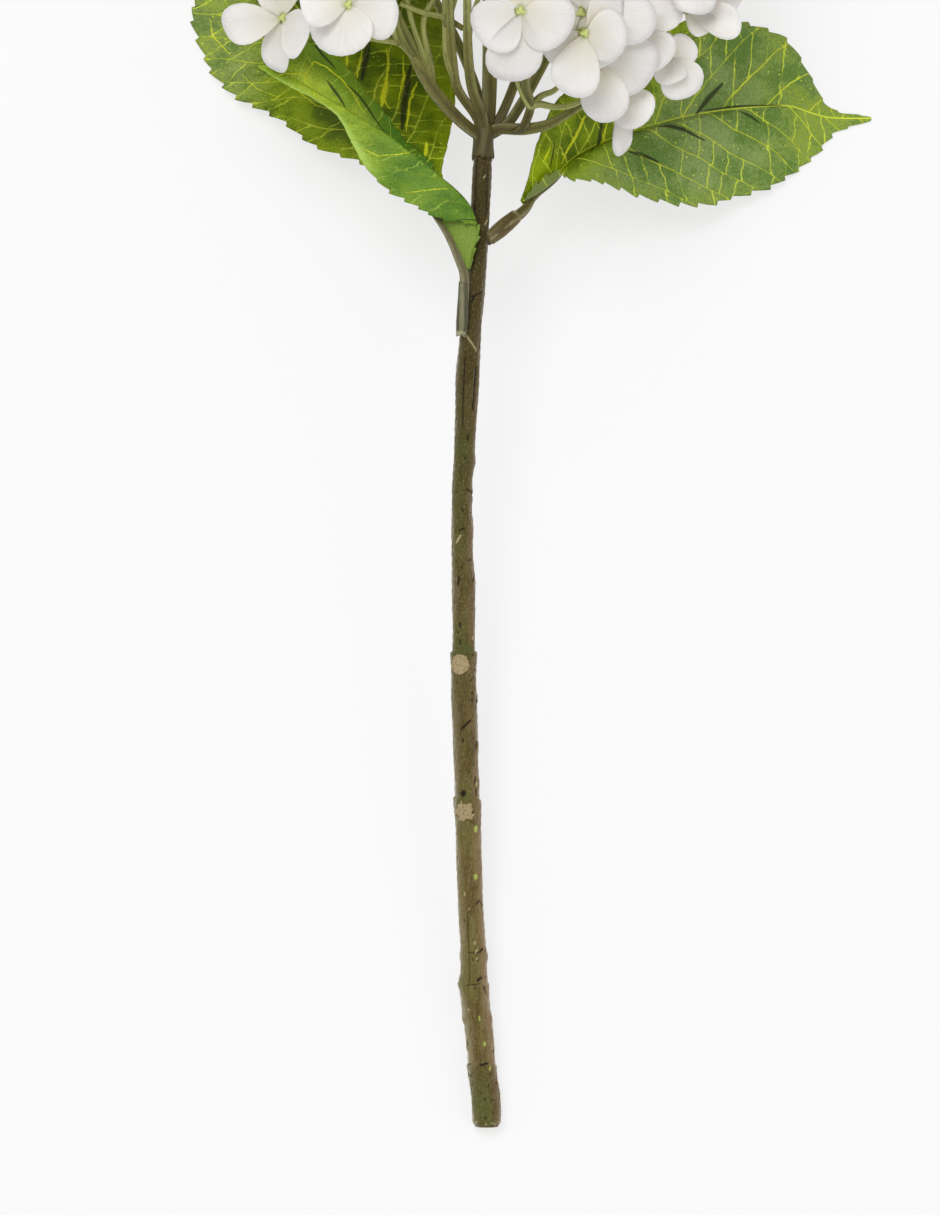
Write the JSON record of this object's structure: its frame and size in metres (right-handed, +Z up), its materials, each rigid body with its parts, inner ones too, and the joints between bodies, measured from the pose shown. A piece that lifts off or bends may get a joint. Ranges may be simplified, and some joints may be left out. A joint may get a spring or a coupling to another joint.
{
  "type": "cut hydrangea",
  "caption": "Cut mophead hydrangea lying on its back: woody stem, toothed leaves and a domed head of white four-petalled florets.",
  "frame": {"origin": "middle of the flower's footprint, on the table that it lies on", "axes": "+Y from the cut end of the stem to the head, +Z up from the table, +X to the right seen from above with the head away from the viewer"},
  "size_m": [0.2356, 0.4982, 0.1752],
  "materials": {
    "stem_bark": "matte olive-brown bark with tan scars",
    "flower_stalk": "satin olive green",
    "leaf_stalk": "satin brown-green",
    "leaf": "satin green with yellow veins",
    "petal": "matte white with a greenish centre"
  },
  "bodies": {
    "root": {"stem": "stem_bark", "head_branches": "flower_stalk", "florets": "petal", "leaf_right_blade": "leaf", "leaf_left_back_blade": "leaf", "leaf_left_front_blade": "leaf", "leaf_right_stalk": "leaf_stalk", "leaf_left_back_stalk": "leaf_stalk", "leaf_left_front_stalk": "leaf_stalk"}
  },
  "joints": []
}
